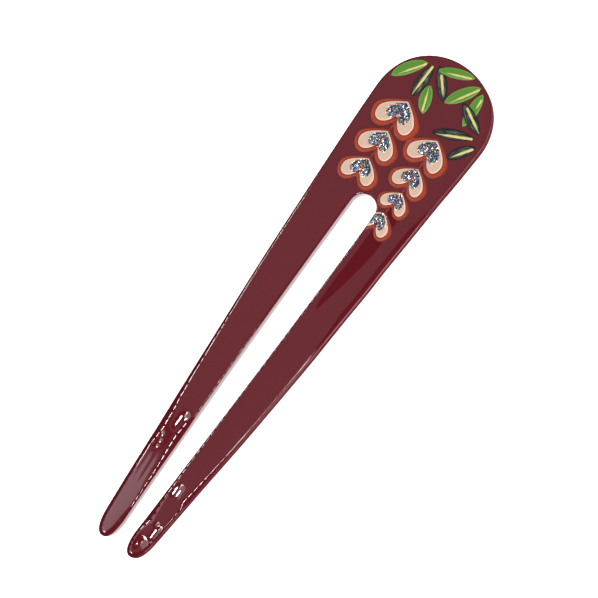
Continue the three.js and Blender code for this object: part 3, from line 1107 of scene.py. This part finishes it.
def matt_paper(colours):
    """Uncoated white paper sweep."""
    # Even and matt, lit bright enough to lose its fibre.
    made, tree = new_material("white_uncoated_paper")
    place = add(tree, "TexCoord", {}, "Object")
    fibre = add(tree, "TexNoise", {"Scale": per_mm(1.5), "Detail": 2, "Vector": place})
    tint = add(
        tree,
        "Mix",
        {AMOUNT: fibre, FIRST: colours.floor, SECOND: darker(colours.floor, 0.98)},
        **COLOURS,
    )
    glow = {"Emission Color": tint, "Emission Strength": 1.1}
    shader = add(tree, "BsdfPrincipled", {"Base Color": tint, "Roughness": 0.9} | glow)
    add(tree, "OutputMaterial", {"Surface": shader})
    return made


# --- Glitter ------------------------------------------------------------------------------

# Colours that holographic flakes take, and how common each is in a heart. The near-white
# #FBFAF4 flakes are partly silver glitter and partly painted glints, made common to stand in for
# glare on the glitter.
FLAKE_TINTS = (
    ("#33386B", 9), ("#2C5F6C", 6), ("#6DB8A4", 4), ("#8F9FC4", 4), ("#A9CC7C", 4),
    ("#E3D160", 4), ("#FBFAF4", 5), ("#D98490", 1.5), ("#4B3A5C", 3), ("#C98A4A", 1.5),
)
# The same for the warm flakes, which gathered low on a heart's axis.
WARM_TINTS = (("#A5401F", 5), ("#D9973F", 3), ("#6E2420", 3), ("#E3CC66", 2.5))
WARM_WIDTH, WARM_FROM, WARM_SHARE = 0.42, 2.6, 0.75  # half width, how low, how common
FLAKE_THICKNESS = 0.03
FLAKE_LEAN = (2, 20)  # degrees
FLAKE_RADII = (0.34, 0.6)  # as shares of a flake's width
SHIFT = 0.45  # how far a flake strays from its place in the grid, as a share of its pitch
OVER_EDGE = 0.12  # how far flakes reach over the edge of the bed
SLOT_MARGIN = 0.35  # how far they stay from the slot


def flake_mesh(centres, radii, tints, rng):
    """Small tilted hexagonal plates."""
    vertices, faces, paint = [], [], []
    for centre, radius, tint in zip(centres, radii, tints):
        lean, towards = math.radians(rng.uniform(*FLAKE_LEAN)), rng.uniform(0, 2 * math.pi)
        spin = rng.uniform(0, math.pi / 3)
        turn = Matrix.Rotation(towards, 3, "Z") @ Matrix.Rotation(lean, 3, "X")
        first = len(vertices)
        for level in (FLAKE_THICKNESS / 2, -FLAKE_THICKNESS / 2):
            for corner in range(6):
                angle = spin + corner * math.pi / 3
                offset = Vector((radius * math.cos(angle), radius * math.sin(angle), level))
                vertices.append(Vector(centre) + turn @ offset)
                paint.append(tint)
        faces.append(tuple(first + k for k in range(6)))
        faces.append(tuple(first + 6 + k for k in reversed(range(6))))
        for k in range(6):
            n = (k + 1) % 6
            faces.append((first + k, first + 6 + k, first + 6 + n, first + n))
    return vertices, faces, paint


def picked(tints, rng):
    """A colour from a list of colours and how common they are."""
    weights = np.array([w for _, w in tints], float)
    return from_hex(tints[rng.choice(len(tints), p=weights / weights.sum())][0])


def flake_centres(glitter, brush, pitch, cut, rng):
    """Where the flakes lie on one glitter bed."""
    low, high = glitter.min(0) - 0.2, glitter.max(0) + 0.2
    grid = np.array(
        [
            (x, y)
            for x in np.arange(low[0], high[0], pitch)
            for y in np.arange(low[1], high[1], pitch)
        ]
    )
    grid += rng.uniform(-SHIFT, SHIFT, grid.shape) * pitch
    gap, within = distance_to(grid, closed(glitter)), inside(grid, glitter)
    keep = within | (gap < OVER_EDGE)
    if cut is not None:
        keep &= brush.fork.gaps(grid)[1] > SLOT_MARGIN
        keep &= ~inside(grid, both_halves(cut))
    grid, gap = grid[keep], np.where(within, gap, 0)[keep]
    bed = BED_THICKNESS * brush.coat * edge_profile(gap, BED_SOFT)
    return np.column_stack([grid, brush.ground(grid) + 2 * brush.coat + bed - 0.005])


def stray_centres(strays, petal, brush):
    """Where flakes lie that strayed onto a petal or a border."""
    flat = np.array(strays)
    return np.column_stack([flat, brush.ground(flat) + brush.coat * (1 + inside(flat, petal))])


def flake_tint(x, y, heart, rng):
    """Colour of the flake at one place."""
    size = heart["size"]
    warm = abs(x - heart["x"]) < WARM_WIDTH * size and y < heart["y"] - WARM_FROM * size
    return picked(WARM_TINTS if warm and rng.random() < WARM_SHARE else FLAKE_TINTS, rng)


# --- Lights and camera --------------------------------------------------------------------

# These are in metres.
CAMERA_DISTANCE = 0.7
CAMERA_TILT = 12.5  # degrees from straight above, towards +X
CAMERA_TURN = 36.2  # degrees that the pin leans to the right in the view
VIEW_WIDTH = 0.13605  # width of the view at the decorated face
LOOK_AT = (0.00067, 0.00253, 0.0035)
SENSOR = 36  # millimetres
FLOOR_DROP = 0.0002  # gap under the pin
WORLD_STRENGTH = 0.26

ROSE, PINK = (1, 0.82, 0.86), (1, 0.88, 0.97)
WARM, CREAM = (1, 0.97, 0.95), (1, 0.98, 0.92)
# Name, place, what it points at, width, height, brightness and tint of each light.
LIGHTS = (
    ("panel", (-0.5425, 0.4025, 1.0), (-0.5425, 0.4025, 0), 0.715, 0.995, 0.62, ROSE),
    ("panel_end", (-0.2058, -0.1325, 1), (-0.2058, -0.1325, 0), 0.0415, 0.075, 0.62, ROSE),
    ("window", (-0.3638, -0.29, 1), (-0.3638, -0.29, 0), 0.2725, 0.32, 3.0, PINK),
    ("lamp", (-0.215, -0.27, 0.96), (-0.215, -0.27, 0), 0.045, 0.13, 28.0, CREAM),
    ("left_strip", (-0.19, -0.031, 0.408), (0, -0.031, 0), 0.022, 0.128, 64.0, WARM),
    ("right_strip", (0.012, -0.058, 0.4), (0, -0.058, 0), 0.022, 0.09, 72.0, WARM),
    ("right_box", (0.57, 0.31, 0.19), (0, 0.31, 0), 0.2, 1.28, 6.0, WARM),
)


def soft_box(scene, name, place, target, width, height, brightness, tint):
    """A rectangular light whose height lies along the pin.

    brightness is its radiance, where white paper in full light is 1.
    """
    light = bpy.data.lights.new(name, "AREA")
    light.shape = "RECTANGLE"
    light.size, light.size_y = width, height
    light.energy = brightness * math.pi * width * height
    light.color = tint
    holder = bpy.data.objects.new(name, light)
    back = (Vector(place) - Vector(target)).normalized()
    across = Vector((0, 1, 0)).cross(back).normalized()
    along = back.cross(across)
    turn = Matrix((across, along, back)).transposed().to_4x4()
    holder.matrix_world = Matrix.Translation(place) @ turn
    holder.visible_camera = False
    scene.collection.objects.link(holder)


def aimed_camera(scene):
    """The camera, leaned over and turned about the direction that it looks in."""
    camera = bpy.data.cameras.new("camera")
    camera.sensor_width = SENSOR
    camera.lens = SENSOR * CAMERA_DISTANCE / VIEW_WIDTH
    camera.clip_start, camera.clip_end = 0.01, 10
    tilt, turn = math.radians(CAMERA_TILT), math.radians(CAMERA_TURN)
    back = Vector((math.sin(tilt), 0, math.cos(tilt)))
    across, along = Vector((math.cos(tilt), 0, -math.sin(tilt))), Vector((0, 1, 0))
    right = across * math.cos(turn) + along * math.sin(turn)
    up = along * math.cos(turn) - across * math.sin(turn)
    holder = bpy.data.objects.new("camera", camera)
    holder.matrix_world = Matrix.Translation(
        Vector(LOOK_AT) + back * CAMERA_DISTANCE
    ) @ Matrix((right, up, back)).transposed().to_4x4()
    scene.collection.objects.link(holder)
    return holder


# --- Operators ----------------------------------------------------------------------------

HEART_SPACING, GLITTER_SPACING, DRIP_SPACING, LEAF_SPACING = 0.34, 0.25, 0.2, 0.3
DRIP_BULGE, DRIP_THICKNESS = 0.26, 0.8  # half the width of a drip, and its height in coats
GRAIN_ALONG, GRAIN_ACROSS = 0.22, 1.4  # brush streaks are drawn out along a leaf


class PIN_OT_stage(bpy.types.Operator):
    """Sets out the paper, the studio lights and the camera"""

    bl_idname = "pin.stage"
    bl_label = "Stage and Lights"

    def execute(self, context):
        scene = context.scene
        scene.view_settings.view_transform = "Standard"
        paper = bpy.data.meshes.new("paper")
        made = bmesh.new()
        bmesh.ops.create_grid(made, x_segments=8, y_segments=8, size=1.5)
        made.to_mesh(paper)
        made.free()
        paper.materials.append(matt_paper(scene.pin_colours))
        floor = bpy.data.objects.new("paper_sweep", paper)
        floor.location.z = -FLOOR_DROP
        scene.collection.objects.link(floor)
        world = bpy.data.worlds.new("studio")
        world.use_nodes = True
        background = world.node_tree.nodes["Background"].inputs
        background["Color"].default_value = WHITE
        background["Strength"].default_value = WORLD_STRENGTH
        world.cycles_visibility.glossy = False
        scene.world = world
        for light in LIGHTS:
            soft_box(scene, *light)
        scene.camera = aimed_camera(scene)
        return {"FINISHED"}


class PIN_OT_fork(bpy.types.Operator):
    """Builds the two-prong acetate fork"""

    bl_idname = "pin.fork"
    bl_label = "Acetate Fork"

    def execute(self, context):
        scene = context.scene
        vertices, faces, values, cut_faces = fork_mesh(Fork(scene.pin_fork))
        finishes = [burgundy_acetate(scene.pin_colours), sawn_acetate(scene.pin_colours)]
        new_piece(
            "acetate_fork",
            vertices,
            faces,
            finishes,
            "fork_body",
            "burgundy_acetate",
            values,
            cut_faces,
        )
        return {"FINISHED"}


class PIN_OT_hearts(bpy.types.Operator):
    """Builds the hearts: a rust ring, a peach petal and a glitter heart each"""

    bl_idname = "pin.hearts"
    bl_label = "Hearts"

    def execute(self, context):
        scene = context.scene
        lacquer, colours = scene.pin_lacquer, scene.pin_colours
        fork = Fork(scene.pin_fork)
        rust, peach = rust_lacquer(colours), peach_lacquer(colours)
        bed, foil = glitter_bed(colours), glitter_foil()
        pitch = 1 / math.sqrt(lacquer.flakes_per_mm2)
        rng = np.random.default_rng(lacquer.seed)
        for name, heart in HEARTS.items():
            below = [heart_outline(HEARTS[other], BORDER) for other in heart["over"]]
            brush = Brush(fork, lacquer, below)
            cut = fork.slot if name in CUT_BY_SLOT else None
            border, petal, glitter = (
                heart_outline(heart, shape) for shape in (BORDER, PETAL, GLITTER)
            )

            def petal_gap(flat):
                return np.where(inside(flat, petal), 0, distance_to(flat, closed(petal)))

            look = (rust, name + "_border", "rust_lacquer")
            ring = coat_mesh(border, HEART_SPACING, cut=cut)
            brush.lay(name + "_ring", look, ring, petal_gap=petal_gap)
            if name in DRIPS:
                drip = leaf_outline((*DRIPS[name], DRIP_BULGE, DRIP_BULGE))
                drip = coat_mesh(drip, DRIP_SPACING, RINGS[:3])
                no_petal = {"petal_gap": lambda flat: np.ones(len(flat))}
                brush.lay(name + "_drip", look, drip, 0, DRIP_THICKNESS, **no_petal)
            look = (peach, name + "_petal", "peach_lacquer")
            brush.lay(name + "_peach", look, coat_mesh(petal, HEART_SPACING, cut=cut), level=1)
            look = (bed, name + "_glitter", "glitter_lacquer")
            inner = coat_mesh(glitter, GLITTER_SPACING, cut=cut)
            brush.lay(name + "_bed", look, inner, 2, BED_THICKNESS, BED_SOFT)

            centres = flake_centres(glitter, brush, pitch, cut, rng)
            if name in STRAYS:
                strays = stray_centres(STRAYS[name], petal, brush)
                centres = np.concatenate([centres, strays])
            radii = rng.uniform(*FLAKE_RADII, len(centres)) * lacquer.flake / MM
            tints = [flake_tint(x, y, heart, rng) for x, y, _ in centres]
            vertices, faces, paint = flake_mesh(centres, radii, tints, rng)
            values = {"flake_tint": np.array(paint)}
            flakes = new_piece(
                name + "_flakes", vertices, faces, [foil], look[1], look[2], values
            )
            flat_faces = [False] * len(flakes.data.polygons)
            flakes.data.polygons.foreach_set("use_smooth", flat_faces)
        return {"FINISHED"}


class PIN_OT_leaves(bpy.types.Operator):
    """Builds the light and dark leaves, and the vein stroke on each"""

    bl_idname = "pin.leaves"
    bl_label = "Leaves and Veins"

    def execute(self, context):
        scene = context.scene
        lacquer, colours = scene.pin_lacquer, scene.pin_colours
        fork = Fork(scene.pin_fork)
        light = (light_leaf_lacquer(colours), "green_lacquer", lacquer.vein_width)
        dark = (dark_leaf_lacquer(colours), "dark_green_lacquer", lacquer.dark_vein_width)
        straw = vein_lacquer(colours)
        for name, leaf in LEAVES.items():
            stem, tip, _, _, start, end, over = leaf
            brush = Brush(fork, lacquer, [leaf_outline(LEAVES[other]) for other in over])
            run, side, size = along_and_across(stem, tip)

            def grain(flat):
                u, v = (flat - np.array(stem)) @ run, (flat - np.array(stem)) @ side
                swell = np.maximum(0.35, 4 * (u / size) * (1 - u / size))
                return np.column_stack(
                    [u * GRAIN_ALONG, v / swell * GRAIN_ACROSS, np.full(len(u), size)]
                )

            green, slot, wide = dark if "dark" in name else light
            blade = coat_mesh(leaf_outline(leaf), LEAF_SPACING)
            brush.lay(name.replace("leaf", "blade"), (green, name, slot), blade, grain=grain)
            stroke = vein_mesh(
                start,
                end,
                wide / MM,
                lacquer.vein_coat / MM,
                lambda flat: brush.ground(flat) + brush.coat,
            )
            new_piece(
                name.replace("leaf", "stroke"),
                *stroke,
                [straw],
                name.replace("leaf", "vein"),
                "straw_lacquer",
            )
        return {"FINISHED"}


class PIN_PT_build(bpy.types.Panel):
    """Buttons that build the pin, and its sizes and colours"""

    bl_label = "Lacquered Hair Pin"
    bl_idname = "PIN_PT_build"
    bl_space_type = "VIEW_3D"
    bl_region_type = "UI"
    bl_category = "Hair Pin"

    def draw(self, context):
        for operator in OPERATORS:
            self.layout.operator(operator.bl_idname)
        scene = context.scene
        for group in (scene.pin_fork, scene.pin_lacquer, scene.pin_colours):
            box = self.layout.box()
            for key in group.bl_rna.properties.keys():
                if key not in ("rna_type", "name"):
                    box.prop(group, key)


OPERATORS = (PIN_OT_stage, PIN_OT_fork, PIN_OT_hearts, PIN_OT_leaves)
CLASSES = (ForkSizes, LacquerSizes, FinishColours, *OPERATORS, PIN_PT_build)


def register():
    for kind in CLASSES:
        bpy.utils.register_class(kind)
    bpy.types.Scene.pin_fork = PointerProperty(type=ForkSizes)
    bpy.types.Scene.pin_lacquer = PointerProperty(type=LacquerSizes)
    bpy.types.Scene.pin_colours = PointerProperty(type=FinishColours)


def unregister():
    for key in ("pin_colours", "pin_lacquer", "pin_fork"):
        delattr(bpy.types.Scene, key)
    for kind in reversed(CLASSES):
        bpy.utils.unregister_class(kind)


def main():
    register()
    for operator in OPERATORS:
        group, action = operator.bl_idname.split(".")
        getattr(getattr(bpy.ops, group), action)()


if __name__ == "__main__":
    main()
